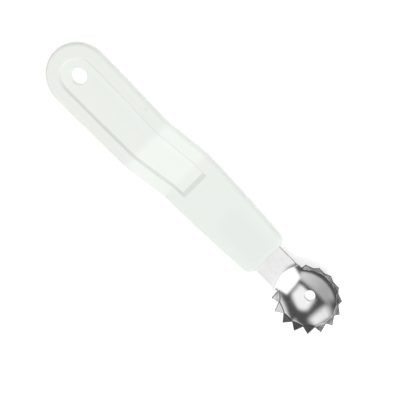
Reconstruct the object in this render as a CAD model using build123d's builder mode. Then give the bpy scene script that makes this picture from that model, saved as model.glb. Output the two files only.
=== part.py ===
from build123d import *
from math import atan, cos, degrees, radians, sin, sqrt, tan
import os

# Serrated tomato corer: a one-piece steel scoop fixed in a one-piece moulded handle.
# Millimetres.  +X runs from the hanging end to the scoop, +Z is the scoop's hollow side,
# and Z = 0 is the lowest point of the scoop.  The origin is under the middle of the tool.

total_length = 151.5

# Handle: a flat bar whose hanging end is cranked up above its front end.
handle_length = 115.5
handle_thickness = 3.5
handle_underside = 2.4  # height of the front part's flat underside
crank_rise = 6.6
crank_start, crank_end = 51.1, 69.9  # from the hanging end, along the top face
crank_bend_radius = 6.0
end_radius = 13.45  # the hanging end is a half circle
waist_x, waist_half_width = 49.4, 12.9
shoulder_x, shoulder_half_width = 83.4, 12.3
front_half_width = 10.4
front_taper = 0.07  # sideways slope of the outline at the front corners
front_corner_radius = 3.5
edge_radius = 1.4
hang_hole_x, hang_hole_radius = 13.7, 3.3

# Recess in the top face, concentric with the hanging end.
recess_depth = 1.0
recess_end_radius = 7.7
recess_waist_half_width = 7.3
recess_front_x, recess_front_half_width = 75.9, 6.5
recess_taper = 0.05  # sideways slope of the outline where it ends
recess_end_slope = 1.9  # length of the sloped front wall
recess_wall_chamfer = 0.8  # the sides of the recess lean at 45 degrees below its rim
floor_squareness = 0.9  # the floor's faces look down; the sloped front wall leans more than this
hole_rim_fillet = 0.25
slot_mouth_gap, slot_mouth_depth = 0.3, 1.2  # clearance round the strip where it leaves

# Steel sheet: tang, flat strip, dished bowl and 13 upturned teeth.
sheet = 0.7
strip_top = 5.1
strip_width = 14.0
tang_width = 11.0
tang_length = 24.0
tang_shoulder = 3.0  # full-width strip held inside the handle
tang_corner_radius = 2.0
tang_hole_radius = 2.5
dish_radius = 23.5  # spherical radius of the hollow side
notch_radius = 11.85
drain_hole_radius = 2.2
teeth = 13
tooth_pitch = 22.5  # degrees
tooth_lean = 52.0  # degrees above level
tooth_length = 3.1
tooth_tip_width = 0.24
tooth_root_overlap = 0.35  # how far a tooth's plate reaches down into the dish
neck_inner_overlap, neck_outer_overlap = 1.0, 0.3  # the neck runs into the dish and the strip

hanging_end = -total_length / 2
handle_front = hanging_end + handle_length
hole_x = hanging_end + hang_hole_x
handle_top = handle_underside + handle_thickness
bend_offset = handle_thickness * tan(atan(crank_rise / (crank_end - crank_start)) / 2)
overrun = 5.0  # cutting and trimming shapes run this far past the solid
through = 50.0  # long enough to pass right through the tool

tooth_chord_radius = notch_radius * cos(radians(tooth_pitch / 2))
tooth_half_width = notch_radius * sin(radians(tooth_pitch / 2))
tip_radius = tooth_chord_radius + tooth_length * cos(radians(tooth_lean))
rim_radius = tip_radius + sheet * sin(radians(tooth_lean))
bowl_x = total_length / 2 - rim_radius
dish_centre_z = sqrt((dish_radius + sheet) ** 2 - drain_hole_radius**2)
notch_z = dish_centre_z - sqrt(dish_radius**2 - notch_radius**2)
crease_radius = sqrt(dish_radius**2 - (dish_centre_z - strip_top) ** 2)


def on_sphere(radius, distance):
    """Point of the dish's section on a sphere, at a distance from the bowl's axis."""
    return (distance, dish_centre_z - sqrt(radius**2 - distance**2))


def dish_section(inner_start, inner_end):
    """Closed outline of the sheet between two distances from the bowl's axis."""
    spread = (dish_radius + sheet) / dish_radius
    ends = (inner_start, inner_end)
    middle = sum(ends) / 2
    with BuildLine() as outline:
        ThreePointArc(*(on_sphere(dish_radius, r) for r in (ends[0], middle, ends[1])))
        ThreePointArc(*(on_sphere(dish_radius + sheet, r * spread) for r in (ends[0], middle, ends[1])))
        Line(on_sphere(dish_radius, ends[0]), on_sphere(dish_radius + sheet, ends[0] * spread))
        Line(on_sphere(dish_radius, ends[1]), on_sphere(dish_radius + sheet, ends[1] * spread))
    return outline.line


def cranked_band(top_z, bottom_z, front_x, front_slope=0.0):
    """Side view of the handle between two levels of its front part."""
    with BuildLine() as outline:
        top_shift = (handle_top - top_z) / handle_thickness * bend_offset
        bottom_shift = (handle_top - bottom_z) / handle_thickness * bend_offset
        start, end = hanging_end + crank_start, hanging_end + crank_end
        Polyline(
            (hanging_end - overrun, top_z + crank_rise),
            (start - top_shift, top_z + crank_rise),
            (end - top_shift, top_z),
            (front_x, top_z),
            (front_x - front_slope, bottom_z),
            (end - bottom_shift, bottom_z),
            (start - bottom_shift, bottom_z + crank_rise),
            (hanging_end - overrun, bottom_z + crank_rise),
            close=True,
        )
    return outline.line


bowl_axis = Axis((bowl_x, 0, 0), (0, 0, 1))
bowl_section = Plane(origin=(bowl_x, 0, 0), x_dir=(1, 0, 0), z_dir=(0, -1, 0))

# Neck: the stretch of the dish that runs on past the notches up to the flat strip.
with BuildPart() as neck:
    with BuildSketch(bowl_section):
        add(dish_section(notch_radius - neck_inner_overlap, crease_radius + neck_outer_overlap))
        make_face()
    revolve(axis=bowl_axis, revolution_arc=360)
    with Locations((bowl_x, 0, strip_top)):
        Box(
            2 * dish_radius,
            strip_width,
            2 * dish_radius,
            align=(Align.MAX, Align.CENTER, Align.MAX),
            mode=Mode.INTERSECT,
        )

# Scoop blade, stamped from one sheet.
with BuildPart() as scoop_blade:
    strip_start = handle_front - tang_shoulder
    tang_start = handle_front - tang_length
    with BuildSketch(Plane.XY.offset(strip_top)):
        with Locations((strip_start, 0)):
            Rectangle(bowl_x - strip_start, strip_width, align=(Align.MIN, Align.CENTER))
        with Locations((tang_start, 0)):
            Rectangle(tang_length, tang_width, align=(Align.MIN, Align.CENTER))
    extrude(amount=-sheet)
    fillet(scoop_blade.edges().filter_by(Axis.Z).group_by(Axis.X)[0], tang_corner_radius)
    with Locations((bowl_x, 0, dish_centre_z)):
        Sphere(dish_radius, mode=Mode.SUBTRACT)
    with Locations(((tang_start + strip_start) / 2, 0, strip_top)):
        Cylinder(tang_hole_radius, 2 * strip_top, mode=Mode.SUBTRACT)
    with BuildSketch(bowl_section):
        add(dish_section(drain_hole_radius * dish_radius / (dish_radius + sheet), notch_radius))
        make_face()
    revolve(axis=bowl_axis, revolution_arc=360)
    add(neck.part)
    for tooth in range(teeth):
        heading = (tooth - (teeth - 1) / 2) * tooth_pitch
        outward = Vector(cos(radians(heading)), sin(radians(heading)), 0)
        upslope = outward * cos(radians(tooth_lean)) + Vector(0, 0, sin(radians(tooth_lean)))
        sideways = Vector(0, 0, 1).cross(outward)
        root = Vector(bowl_x, 0, notch_z) + outward * tooth_chord_radius
        with BuildSketch(Plane(origin=root, x_dir=sideways, z_dir=sideways.cross(upslope))):
            with BuildLine():
                Polyline(
                    (-tooth_half_width, -tooth_root_overlap),
                    (-tooth_half_width, 0),
                    (-tooth_tip_width / 2, tooth_length),
                    (tooth_tip_width / 2, tooth_length),
                    (tooth_half_width, 0),
                    (tooth_half_width, -tooth_root_overlap),
                    close=True,
                )
            make_face()
        extrude(amount=sheet)


def bar_outline(start_radius, waist, shoulder, front, end_direction):
    """Half of a plan outline: a quarter circle round the hanging end, then a long easy taper."""
    centre_x = hanging_end + end_radius
    with BuildLine() as outline:
        CenterArc((centre_x, 0), start_radius, 90, 90)
        Spline(
            (centre_x, start_radius),
            *((hanging_end + x, y) for x, y in (waist, shoulder)),
            front,
            tangents=((1, 0), end_direction),
        )
        Line(front, (front[0], 0))
    return outline.line


def is_crank_bend(vertex):
    """True for the corners of the side view at the crank, not for those at its two ends."""
    return hanging_end < vertex.X < hanging_end + crank_end + 2 * bend_offset


# Recess core: the shape that the mould leaves in the top face.
with BuildPart() as recess_core:
    rim_to_floor = recess_end_slope / recess_depth
    with BuildSketch(Plane.XZ) as recess_side:
        recess_front_point = hanging_end + recess_front_x
        front_top = recess_front_point + rim_to_floor * overrun
        add(
            cranked_band(
                handle_top + overrun,
                handle_top - recess_depth,
                front_top,
                rim_to_floor * (overrun + recess_depth),
            )
        )
        make_face()
        fillet(recess_side.vertices().filter_by(is_crank_bend), crank_bend_radius)
    extrude(amount=2 * end_radius, both=True)
    with BuildSketch(Plane.XY):
        with BuildLine():
            add(
                bar_outline(
                    recess_end_radius,
                    (waist_x, recess_waist_half_width),
                    (recess_front_x, recess_front_half_width),
                    (front_top, recess_front_half_width - recess_taper * (front_top - recess_front_point)),
                    (1, -recess_taper),
                )
            )
            mirror(about=Plane.XZ)
        make_face()
    extrude(amount=through, mode=Mode.INTERSECT)
    floor = recess_core.faces().filter_by(lambda f: f.normal_at().Z < -floor_squareness)
    floor_edges = ShapeList(e for face in floor for e in face.edges())
    chamfer(floor_edges.filter_by(Axis.Y, reverse=True), recess_wall_chamfer)

# Handle, moulded in one piece round the tang.
with BuildPart() as handle:
    with BuildSketch(Plane.XZ) as handle_side:
        add(cranked_band(handle_top, handle_underside, handle_front + overrun))
        make_face()
        fillet(handle_side.vertices().filter_by(is_crank_bend), crank_bend_radius)
    extrude(amount=2 * end_radius, both=True)
    with BuildSketch(Plane.XY):
        with BuildLine():
            add(
                bar_outline(
                    end_radius,
                    (waist_x, waist_half_width),
                    (shoulder_x, shoulder_half_width),
                    (handle_front, front_half_width),
                    (1, -front_taper),
                )
            )
            mirror(about=Plane.XZ)
        plan = make_face()
        fillet(plan.vertices().group_by(Axis.X)[-1], front_corner_radius)
    extrude(amount=through, mode=Mode.INTERSECT)
    across = handle.edges().filter_by(Axis.Y)
    crank_lines = across.filter_by(lambda e: e.center().X < handle_front - edge_radius)
    upright = handle.edges().filter_by(Axis.Z)
    fillet(handle.edges() - crank_lines - upright, edge_radius)
    add(recess_core.part, mode=Mode.SUBTRACT)
    with Locations((hole_x, 0, 0)):
        Cylinder(hang_hole_radius, through, mode=Mode.SUBTRACT)
    fillet(handle.edges(Select.LAST).filter_by(GeomType.CIRCLE), hole_rim_fillet)
    with Locations((handle_front, 0, strip_top - sheet / 2)):
        Box(
            2 * slot_mouth_depth,
            strip_width + 2 * slot_mouth_gap,
            sheet + 2 * slot_mouth_gap,
            mode=Mode.SUBTRACT,
        )
    add(scoop_blade.part, mode=Mode.SUBTRACT)

os.makedirs("parts", exist_ok=True)
handle.part.label = "handle"
scoop_blade.part.label = "scoop_blade"
export_step(handle.part, "parts/handle.step")
export_step(scoop_blade.part, "parts/scoop_blade.step")
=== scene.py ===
from math import cos, hypot, pi, radians, sin, sqrt, tan

import bmesh
import bpy
from mathutils import Matrix, Vector


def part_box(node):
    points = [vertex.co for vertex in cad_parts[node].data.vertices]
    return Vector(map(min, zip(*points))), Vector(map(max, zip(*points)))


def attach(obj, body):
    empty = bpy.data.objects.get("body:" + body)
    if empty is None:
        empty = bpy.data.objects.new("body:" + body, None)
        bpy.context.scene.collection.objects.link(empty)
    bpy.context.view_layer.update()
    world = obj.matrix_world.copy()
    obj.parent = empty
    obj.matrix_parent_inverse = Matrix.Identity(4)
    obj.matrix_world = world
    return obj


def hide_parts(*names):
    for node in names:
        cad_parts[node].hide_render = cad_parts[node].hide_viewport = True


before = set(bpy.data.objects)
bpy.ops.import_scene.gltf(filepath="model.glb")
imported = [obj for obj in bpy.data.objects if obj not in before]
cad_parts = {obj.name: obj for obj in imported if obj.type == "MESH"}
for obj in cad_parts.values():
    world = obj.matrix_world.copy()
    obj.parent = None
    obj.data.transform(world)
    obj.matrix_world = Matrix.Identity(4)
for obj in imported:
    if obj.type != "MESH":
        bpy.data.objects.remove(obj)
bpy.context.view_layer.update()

MM = 0.001

# Sizes of the scoop blade in millimetres, the same as the CAD node's.
SHEET = 0.7
STRIP_TOP = 5.1
STRIP_WIDTH = 14.0
TANG_WIDTH = 11.0
TANG_LENGTH = 24.0
TANG_SHOULDER = 3.0
DISH_RADIUS = 23.5
NOTCH_RADIUS = 11.85
HOLE_RADIUS = 2.2
TEETH = 13
SECTORS = 16
TOOTH_LEAN = radians(52.0)
TOOTH_LENGTH = 3.1
TIP_WIDTH = 0.24

HALF_PITCH = pi / SECTORS
CHORD_RADIUS = NOTCH_RADIUS * cos(HALF_PITCH)
TIP_RADIUS = CHORD_RADIUS + TOOTH_LENGTH * cos(TOOTH_LEAN)
RIM_RADIUS = TIP_RADIUS + SHEET * sin(TOOTH_LEAN)
BLADE_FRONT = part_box("scoop_blade")[1].x / MM
HANDLE_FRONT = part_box("handle")[1].x / MM
BOWL_X = BLADE_FRONT - RIM_RADIUS
DISH_CENTRE_Z = sqrt((DISH_RADIUS + SHEET) ** 2 - HOLE_RADIUS**2)
CREASE_RADIUS = sqrt(DISH_RADIUS**2 - (DISH_CENTRE_Z - STRIP_TOP) ** 2)


# ---------------------------------------------------------------- camera
LEAN = radians(22.0)  # the camera leans this far from straight above, towards +Y
TURN = radians(45.35)  # the tool lies this far round from the picture's horizontal
FIELD = 156.0 * MM  # width of the view at the tool
DISTANCE = 1.6
SENSOR = 36.0
CENTRE_ALONG, CENTRE_ACROSS = 5.0 * MM, -4.52 * MM


def make_camera():
    towards = Vector((0, sin(LEAN), cos(LEAN)))
    along = Vector((1, 0, 0))
    across = towards.cross(along)
    right = along * cos(TURN) + across * sin(TURN)
    up = across * cos(TURN) - along * sin(TURN)
    data = bpy.data.cameras.new("camera")
    data.sensor_width = SENSOR
    data.lens = SENSOR * DISTANCE / FIELD
    data.clip_start, data.clip_end = 0.05, 20.0
    camera = bpy.data.objects.new("camera", data)
    bpy.context.scene.collection.objects.link(camera)
    place = along * CENTRE_ALONG + across * CENTRE_ACROSS + towards * DISTANCE
    camera.matrix_world = Matrix(
        (
            (right.x, up.x, towards.x, place.x),
            (right.y, up.y, towards.y, place.y),
            (right.z, up.z, towards.z, place.z),
            (0, 0, 0, 1),
        )
    )
    bpy.context.scene.camera = camera


# ---------------------------------------------------------------- the scoop blade
FOLD_SOFTNESS = 0.30  # how gently the dish turns up into the teeth, in millimetres
FOLD_FADE = radians(9)  # the fold's rounding dies out this close to the neck
CREASE_SOFTNESS = 0.45
CUT_EDGE_BEVEL = 0.09
PAST_SURFACE = 3.0  # the dish's surface is worked out this far past where it is used

COLUMNS = 10  # quads across one sixteenth of the dish
TOOTHED_COLUMNS = TEETH * COLUMNS
TURN_COLUMNS = SECTORS * COLUMNS
RING_ROWS, TOOTH_ROWS, NECK_ROWS, STRIP_ROWS = 34, 14, 14, 8
ROOT_CROWDING = 1.6  # the dish's rows crowd together towards the notches
TIP_SPREADING = 1.4  # and a tooth's rows spread out towards its tip
PAST_CREASE = 1.12  # the neck's rows run on past the crease by this ratio
NECK_SPREAD = 0.4  # the neck has the strip's width from this ratio of the way to the crease
TANG_STEP = 0.4  # length of the step in width between the strip and the tang
TANG_END_GAP = 1.0  # the tang drawn here stops this far short of the CAD node's
NECK_SECTORS = SECTORS - TEETH
FIRST_HEADING = pi + NECK_SECTORS * HALF_PITCH  # the neck takes the sectors round -X


def smooth_step(low, high, value):
    t = min(max((value - low) / (high - low), 0.0), 1.0)
    return t * t * (3 - 2 * t)


def soft_max(a, b, width):
    """The larger of two heights, rounded over where they are nearly equal."""
    if width == 0:
        return max(a, b)
    h = max(width - abs(a - b), 0.0) / width
    return max(a, b) + h * h * width / 4


def dish_height(r):
    return DISH_CENTRE_Z - sqrt(DISH_RADIUS**2 - r**2)


NOTCH_Z = dish_height(NOTCH_RADIUS)


def toothed_height(outwards, sideways, off_neck):
    """Height of the hollow side in one tooth's sector.

    outwards and sideways are measured from the bowl's axis along and across the
    tooth's heading; off_neck is the angle from the neck, where the fold dies out.
    """
    sphere = dish_height(min(hypot(outwards, sideways), NOTCH_RADIUS + PAST_SURFACE))
    plate = NOTCH_Z + (outwards - CHORD_RADIUS) * tan(TOOTH_LEAN)
    return soft_max(sphere, plate, FOLD_SOFTNESS * smooth_step(0.0, FOLD_FADE, off_neck))


def neck_height(r):
    sphere = dish_height(min(r, CREASE_RADIUS + PAST_SURFACE))
    return -soft_max(-sphere, -STRIP_TOP, CREASE_SOFTNESS)


def sector_middle(sector):
    """Heading of the middle of a sixteenth of the dish, which is a tooth's heading."""
    return FIRST_HEADING + (sector + 0.5) * 2 * HALF_PITCH


def angle_off_neck(column):
    """Angle from a column of vertices to the nearer side of the neck, zero inside it."""
    return max(min(column, TOOTHED_COLUMNS - column), 0) * 2 * HALF_PITCH / COLUMNS


def add_vertex(bm, x, y, z):
    """A vertex in millimetres, with x measured from the bowl's axis."""
    return bm.verts.new(((BOWL_X + x) * MM, y * MM, z * MM))


def add_quads(bm, below, above):
    for corners in zip(below, above, above[1:], below[1:]):
        bm.faces.new(corners)


def add_dish(bm):
    """The dish from its drain hole to the lines between notches; returns the outer row."""
    ring = None
    for row in range(RING_ROWS + 1):
        t = 1 - (1 - row / RING_ROWS) ** ROOT_CROWDING
        inner, ring = ring, []
        for column in range(TURN_COLUMNS):
            heading = FIRST_HEADING + column * 2 * HALF_PITCH / COLUMNS
            off_middle = heading - sector_middle(column // COLUMNS)
            r = HOLE_RADIUS + (CHORD_RADIUS / cos(off_middle) - HOLE_RADIUS) * t
            if column < TOOTHED_COLUMNS:
                z = toothed_height(r * cos(off_middle), r * sin(off_middle), angle_off_neck(column))
            else:
                z = dish_height(r)
            ring.append(add_vertex(bm, r * cos(heading), r * sin(heading), z))
        ring.append(ring[0])
        if inner:
            add_quads(bm, inner, ring)
    return ring


def add_tooth(bm, tooth, root):
    """One tooth's plate, from its row of root vertices up to its tip."""
    middle = sector_middle(tooth)
    ahead, across = Vector((cos(middle), sin(middle))), Vector((-sin(middle), cos(middle)))
    below = root
    for row in range(1, TOOTH_ROWS + 1):
        t = (row / TOOTH_ROWS) ** TIP_SPREADING
        outwards = CHORD_RADIUS + t * (TIP_RADIUS - CHORD_RADIUS)
        above = []
        for c in range(COLUMNS + 1):
            root_side = CHORD_RADIUS * tan((c / COLUMNS * 2 - 1) * HALF_PITCH)
            tip_side = (c / COLUMNS - 0.5) * TIP_WIDTH
            sideways = root_side + (tip_side - root_side) * t
            z = toothed_height(outwards, sideways, angle_off_neck(tooth * COLUMNS + c))
            spot = ahead * outwards + across * sideways
            above.append(add_vertex(bm, spot.x, spot.y, z))
        add_quads(bm, below, above)
        below = above


def neck_and_strip_rows(root):
    """Rows of points from the neck's root along the strip to the end of the tang."""
    half = STRIP_WIDTH / 2
    widening = half / (NOTCH_RADIUS * sin(NECK_SECTORS * HALF_PITCH))
    for step in range(1, NECK_ROWS + 1):
        t = step / NECK_ROWS * PAST_CREASE
        row = []
        for x0, y0 in root:
            y1 = y0 * widening
            x1 = -sqrt(CREASE_RADIUS**2 - y1**2)
            x = x0 + (x1 - x0) * t
            y = y0 + (y1 - y0) * smooth_step(0, NECK_SPREAD, t)
            row.append((x, y, neck_height(hypot(x, y))))
        yield row
    last_row = row
    strip_start = HANDLE_FRONT - TANG_SHOULDER - BOWL_X
    for step in range(1, STRIP_ROWS + 1):
        t = step / STRIP_ROWS
        yield [(x + (strip_start - x) * t, y, STRIP_TOP) for x, y, _ in last_row]
    tang_end = HANDLE_FRONT - TANG_LENGTH + TANG_END_GAP - BOWL_X
    for end in (strip_start - TANG_STEP, tang_end):
        yield [(end, y / half * TANG_WIDTH / 2, STRIP_TOP) for _, y, _ in last_row]


def blade_mesh():
    """The hollow side of the stamping as one sheet of quads; Solidify gives it the rest."""
    bm = bmesh.new()
    rim = add_dish(bm)
    for tooth in range(TEETH):
        add_tooth(bm, tooth, rim[tooth * COLUMNS : (tooth + 1) * COLUMNS + 1])
    below = rim[TOOTHED_COLUMNS:]
    for row in neck_and_strip_rows([(v.co.x / MM - BOWL_X, v.co.y / MM) for v in below]):
        above = [add_vertex(bm, *point) for point in row]
        add_quads(bm, below, above)
        below = above

    bmesh.ops.recalc_face_normals(bm, faces=bm.faces)
    if sum(f.normal.z * f.calc_area() for f in bm.faces) < 0:
        bmesh.ops.reverse_faces(bm, faces=bm.faces)
    for f in bm.faces:
        f.smooth = True
    mesh = bpy.data.meshes.new("scoop_blade_sheet")
    bm.to_mesh(mesh)
    bm.free()
    return mesh


def make_blade(polished, sheared_painted_dark):
    blade = bpy.data.objects.new("blade_stamping", blade_mesh())
    bpy.context.scene.collection.objects.link(blade)
    blade.data.materials.append(polished)
    blade.data.materials.append(sheared_painted_dark)
    solid = blade.modifiers.new("thickness", "SOLIDIFY")
    solid.thickness = SHEET * MM
    solid.offset = -1
    solid.use_even_offset = True
    solid.material_offset_rim = 1
    bevel = blade.modifiers.new("sheared_edges", "BEVEL")
    bevel.width = CUT_EDGE_BEVEL * MM
    bevel.segments = 2
    bevel.limit_method = "ANGLE"
    bevel.angle_limit = radians(50)
    bevel.harden_normals = True
    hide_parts("scoop_blade")
    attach(blade, "root")
    return blade


# ---------------------------------------------------------------- materials
PLASTIC_WARM = (0.870, 0.892, 0.842)
PLASTIC_COOL = (0.836, 0.878, 0.842)
# Painted shade: the plastic's colour over the tang, standing in for the steel showing through the milky
# plastic.
PLASTIC_TANG_SHADE = (0.800, 0.846, 0.817)
PLASTIC_FLECK = (0.62, 0.66, 0.60)
STEEL_DULL = (0.69, 0.69, 0.69)
STEEL_BRIGHT = (0.76, 0.76, 0.76)
# Painted dark reflection: the cut edge is darker for its rough cut and painted darker still, standing
# in for the dark surroundings it reflects.
EDGE_PAINTED_DARK_LOW = (0.16, 0.16, 0.16)
EDGE_PAINTED_DARK_HIGH = (0.30, 0.30, 0.30)
FLOOR_GLOW = 0.36


class Nodes:
    """A few short calls for wiring a shader's node tree."""

    def __init__(self, tree):
        self.tree = tree

    def new(self, kind, **settings):
        node = self.tree.nodes.new(kind)
        for key, value in settings.items():
            setattr(node, key, value)
        return node

    def link(self, a, b):
        self.tree.links.new(a, b)

    def math(self, operation, a, b=0.0, clamp=False):
        node = self.new("ShaderNodeMath", operation=operation, use_clamp=clamp)
        for socket, value in zip(node.inputs, (a, b)):
            if isinstance(value, (int, float)):
                socket.default_value = value
            else:
                self.link(value, socket)
        return node.outputs[0]

    def dot(self, a, direction):
        node = self.new("ShaderNodeVectorMath", operation="DOT_PRODUCT")
        self.link(a, node.inputs[0])
        node.inputs[1].default_value = direction
        return node.outputs["Value"]

    def ramp(self, value, low, high):
        """0 below low, 1 above high and smooth between."""
        node = self.new("ShaderNodeMapRange", interpolation_type="SMOOTHSTEP")
        self.link(value, node.inputs["Value"])
        node.inputs["From Min"].default_value = low
        node.inputs["From Max"].default_value = high
        return node.outputs["Result"]

    def noise(self, where, scale, detail=3.0, roughness=0.5):
        node = self.new("ShaderNodeTexNoise")
        self.link(where, node.inputs["Vector"])
        node.inputs["Scale"].default_value = scale
        node.inputs["Detail"].default_value = detail
        node.inputs["Roughness"].default_value = roughness
        return node.outputs[0]

    def stretch(self, where, scale):
        node = self.new("ShaderNodeMapping")
        self.link(where, node.inputs["Vector"])
        node.inputs["Scale"].default_value = scale
        return node.outputs[0]

    def between(self, value, low, high):
        """A number that goes from low to high as value goes from 0.3 to 0.7."""
        node = self.new("ShaderNodeMapRange")
        self.link(value, node.inputs["Value"])
        node.inputs["From Min"].default_value = 0.3
        node.inputs["From Max"].default_value = 0.7
        node.inputs["To Min"].default_value = low
        node.inputs["To Max"].default_value = high
        return node.outputs["Result"]

    def blend(self, factor, first, second):
        node = self.new("ShaderNodeMix", data_type="RGBA")
        self.link(factor, node.inputs[0])
        for socket, colour in ((node.inputs[6], first), (node.inputs[7], second)):
            if isinstance(colour, tuple):
                socket.default_value = (*colour, 1)
            else:
                self.link(colour, socket)
        return node.outputs[2]

    def bump(self, height, distance, strength=1.0, under=None):
        node = self.new("ShaderNodeBump")
        self.link(height, node.inputs["Height"])
        node.inputs["Distance"].default_value = distance
        node.inputs["Strength"].default_value = strength
        if under is not None:
            self.link(under, node.inputs["Normal"])
        return node.outputs[0]


def material(name, **values):
    """A Principled material with its constant values set; returns it, its shader and its nodes."""
    m = bpy.data.materials.new(name)
    m.use_nodes = True
    shader = m.node_tree.nodes["Principled BSDF"]
    for key, value in values.items():
        shader.inputs[key.replace("_", " ").title()].default_value = value
    nodes = Nodes(m.node_tree)
    where = nodes.new("ShaderNodeTexCoord").outputs["Object"]
    return m, shader, nodes, where


def milky_plastic():
    """Milky polypropylene: faint flow marks, fine mould grain and a painted shade over the tang,
    standing in for the steel showing through.
    """
    m, shader, n, where = material("handle_plastic", subsurface_weight=0.25, subsurface_scale=0.0012)
    shader.inputs["Subsurface Radius"].default_value = (1.0, 1.0, 0.9)
    flow = n.noise(n.stretch(where, (35.0, 90.0, 90.0)), 1.0, 4.0, 0.6)
    cloudy = n.blend(n.between(flow, 0.0, 1.0), PLASTIC_COOL, PLASTIC_WARM)
    split = n.new("ShaderNodeSeparateXYZ")
    n.link(where, split.inputs[0])
    along, across = split.outputs[0], n.math("ABSOLUTE", split.outputs[1])
    tang_end = (HANDLE_FRONT - TANG_LENGTH) * MM
    soft = 3 * MM
    # Painted shade: a soft box over the tang darkens the plastic there, standing in for the steel
    # showing through.
    inside = n.math(
        "MULTIPLY",
        n.ramp(along, tang_end - soft, tang_end + 2 * soft),
        n.math("SUBTRACT", 1.0, n.ramp(across, TANG_WIDTH / 2 * MM - soft, TANG_WIDTH / 2 * MM + soft)),
    )
    forward = n.ramp(along, -20 * MM, 20 * MM)
    tinted = n.blend(n.math("MULTIPLY", forward, 0.75), cloudy, PLASTIC_COOL)
    shaded = n.blend(n.math("MULTIPLY", inside, 0.55), tinted, PLASTIC_TANG_SHADE)
    fleck = n.ramp(n.noise(where, 420.0, 2.0), 0.74, 0.80)
    n.link(n.blend(n.math("MULTIPLY", fleck, 0.35), shaded, PLASTIC_FLECK), shader.inputs["Base Color"])
    wear_marks = n.noise(where, 160.0, 5.0, 0.65)
    n.link(n.between(wear_marks, 0.30, 0.46), shader.inputs["Roughness"])
    grain = n.bump(n.noise(where, 2600.0, 2.0), 0.03 * MM, 0.25)
    sink = n.bump(n.noise(where, 90.0, 1.0), 0.25 * MM, 0.12, grain)
    n.link(sink, shader.inputs["Normal"])
    return m


def polished_steel():
    """Bright pressed sheet: fine rolling lines along it and a few haphazard rubs."""
    m, shader, n, where = material("stainless_steel", metallic=1.0)
    cloud = n.noise(where, 240.0, 4.0, 0.6)
    n.link(n.blend(n.between(cloud, 0.0, 1.0), STEEL_DULL, STEEL_BRIGHT), shader.inputs["Base Color"])
    rolling = n.noise(n.stretch(where, (120.0, 5200.0, 5200.0)), 1.0, 3.0)
    rubs = n.noise(where, 900.0, 4.0, 0.7)
    patchy = n.math("ADD", n.math("MULTIPLY", rolling, 0.5), n.math("MULTIPLY", rubs, 0.5))
    n.link(n.between(patchy, 0.10, 0.17), shader.inputs["Roughness"])
    lines = n.bump(rolling, 0.002 * MM, 0.5)
    n.link(n.bump(n.noise(where, 300.0, 2.0), 0.02 * MM, 0.35, lines), shader.inputs["Normal"])
    return m


def sheared_steel_painted_dark():
    """The raw cut edge of the sheet: streaked through its thickness, darker for its rough cut and
    painted darker still, standing in for the dark surroundings it reflects.
    """
    m, shader, n, where = material("stainless_steel_sheared_painted_dark", metallic=1.0)
    streaks = n.noise(n.stretch(where, (3000.0, 3000.0, 500.0)), 1.0, 3.0, 0.6)
    # Painted dark reflection in the cut edge's colour, on top of its rough streaks.
    n.link(n.blend(n.between(streaks, 0.0, 1.0), EDGE_PAINTED_DARK_LOW, EDGE_PAINTED_DARK_HIGH), shader.inputs["Base Color"])
    n.link(n.between(streaks, 0.38, 0.55), shader.inputs["Roughness"])
    n.link(n.bump(streaks, 0.03 * MM, 0.6), shader.inputs["Normal"])
    return m


def studio_paper():
    m, shader, n, where = material("floor_paper", roughness=0.8, emission_strength=FLOOR_GLOW)
    shader.inputs["Emission Color"].default_value = (1, 1, 1, 1)
    fibre = n.noise(where, 900.0, 3.0)
    n.link(n.blend(fibre, (0.89, 0.89, 0.89), (0.91, 0.91, 0.91)), shader.inputs["Base Color"])
    return m


def wear(node, surface):
    """Give a CAD node's own mesh a material."""
    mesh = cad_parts[node].data
    mesh.materials.clear()
    mesh.materials.append(surface)


# ---------------------------------------------------------------- studio
FLOOR_HALF = 3.0


def make_floor():
    corners = [(x * FLOOR_HALF, y * FLOOR_HALF, 0) for x, y in ((-1, -1), (1, -1), (1, 1), (-1, 1))]
    mesh = bpy.data.meshes.new("floor")
    mesh.from_pydata(corners, [], [(0, 1, 2, 3)])
    mesh.materials.append(studio_paper())
    floor = bpy.data.objects.new("floor", mesh)
    bpy.context.scene.collection.objects.link(floor)


# The tent's panels, each a brightness and the straight edges round it.
# An edge (a, b, c, d, soft) keeps the directions with a * x + b * y + c * z > d.
# Left and right are towards -X and +X, near and far towards -Y and +Y.
TENT_DARK = 0.11
LOW_LEFT = (
    (0, 0.6, -1, -0.60, 0.03),
    (-0.8, -0.5, 0, 0.60, 0.08),
    (0, -1, 0, -0.10, 0.05),
)
LOW_FAR = (
    (0, 0, -1, -0.34, 0.04),
    (0.6, 0.8, 0, 0.86, 0.05),
)
FAR_LEFT = (
    (0.10, 1, 0, 0.47, 0.05),
    (0, 0, 1, 0.62, 0.05),
    (-1, 0, 0, 0.14, 0.05),
)
FAR_RIGHT = (
    (0.55, 1, 0, 0.60, 0.06),
    (0, 0, 1, 0.62, 0.05),
    (1, 0, 0, -0.02, 0.05),
)
NEAR_WALL = (
    (0.03, -1, 0, 0.58, 0.07),
    (0, 0, 1, 0.38, 0.03),
    (-1, 0, 0, -0.60, 0.05),
)
NEAR_DIM = (*NEAR_WALL, (1, 0, 0, -0.44, 0.12))
NEAR_LIT = (*NEAR_WALL, (1, 0, 0, 0.22, 0.36))
LEFT = (
    (-1, 0, 0, 0.47, 0.11),
    (1, 0, 0, -0.76, 0.06),
    (0.3, -1, 0, -0.34, 0.12),
    (0.4, 1, 0, -0.78, 0.16),
)
RIGHT = (
    (1, 0, 0, 0.56, 0.02),
    (0, -1, 0, -0.10, 0.02),
    (0.6, 1, 0, -0.25, 0.03),
    (0, 0, 1, 0.05, 0.02),
)
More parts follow.
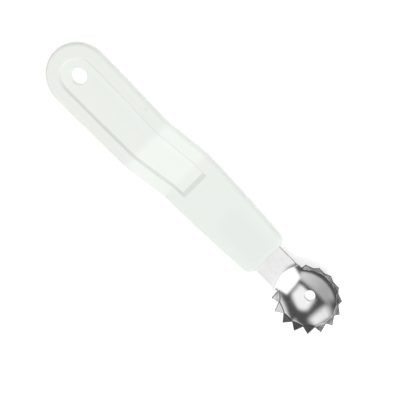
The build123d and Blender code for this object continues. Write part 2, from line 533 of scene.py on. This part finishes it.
CEILING = (
    (1, 0.25, 0, -0.25, 0.10),
    (-1, 0, 0, -0.48, 0.10),
    (-0.55, -1, 0, -0.28, 0.10),
    (0.7, -0.7, 0, -0.20, 0.10),
    (0, 1, 0, -0.43, 0.05),
    (0, -1, 0, -0.21, 0.09),
)
TENT_PANELS = (
    (1.00, LOW_LEFT),
    (1.20, LOW_FAR),
    (0.95, FAR_LEFT),
    (1.20, FAR_RIGHT),
    (0.66, NEAR_DIM),
    (1.05, NEAR_LIT),
    (1.40, LEFT),
    (1.56, CEILING),
    (1.80, RIGHT),
)

# Seen by matt surfaces instead: an even dome that brightens from the horizon to a knee.
DOME_HORIZON, DOME_TOP, DOME_KNEE = 0.17, 1.0, 0.60


def light_tent():
    """A tent with dark seams for mirror-like rays, and an even dome for all the others."""
    world = bpy.data.worlds.new("light_tent")
    bpy.context.scene.world = world
    world.use_nodes = True
    n = Nodes(world.node_tree)
    n.tree.nodes.clear()
    direction = n.new("ShaderNodeTexCoord").outputs["Generated"]
    level = TENT_DARK
    for brightness, edges in TENT_PANELS:
        mask = 1.0
        for a, b, c, d, soft in edges:
            mask = n.math("MULTIPLY", mask, n.ramp(n.dot(direction, (a, b, c)), d - soft, d + soft))
        kept = n.math("MULTIPLY", level, n.math("SUBTRACT", 1.0, mask))
        level = n.math("ADD", kept, n.math("MULTIPLY", mask, brightness))

    reflected = n.new("ShaderNodeBackground")
    n.link(level, reflected.inputs["Strength"])
    even = n.new("ShaderNodeBackground")
    height = n.ramp(n.dot(direction, (0, 0, 1)), 0.0, DOME_KNEE)
    rise = n.math("MULTIPLY", height, DOME_TOP - DOME_HORIZON)
    n.link(n.math("ADD", rise, DOME_HORIZON), even.inputs["Strength"])
    path = n.new("ShaderNodeLightPath")
    mix = n.new("ShaderNodeMixShader")
    n.link(path.outputs["Is Glossy Ray"], mix.inputs[0])
    n.link(even.outputs[0], mix.inputs[1])
    n.link(reflected.outputs[0], mix.inputs[2])
    n.link(mix.outputs[0], n.new("ShaderNodeOutputWorld").inputs[0])


KEY_PLACE = (1.6, -0.25, 1.6)
KEY_SIZE = (1.8, 1.4)
KEY_WATTS = 22.5


def make_key_light():
    """A large soft panel beyond the scoop, which brightens the faces turned that way."""
    data = bpy.data.lights.new("key_panel", "AREA")
    data.shape = "RECTANGLE"
    data.size, data.size_y = KEY_SIZE
    data.energy = KEY_WATTS
    key = bpy.data.objects.new("key_panel", data)
    key.location = KEY_PLACE
    key.rotation_mode = "QUATERNION"
    key.rotation_quaternion = key.location.to_track_quat("Z", "Y")
    key.visible_glossy = False
    bpy.context.scene.collection.objects.link(key)


make_camera()
make_blade(polished_steel(), sheared_steel_painted_dark())
wear("handle", milky_plastic())
make_floor()
make_key_light()
light_tent()
bpy.context.scene.view_settings.view_transform = "Standard"
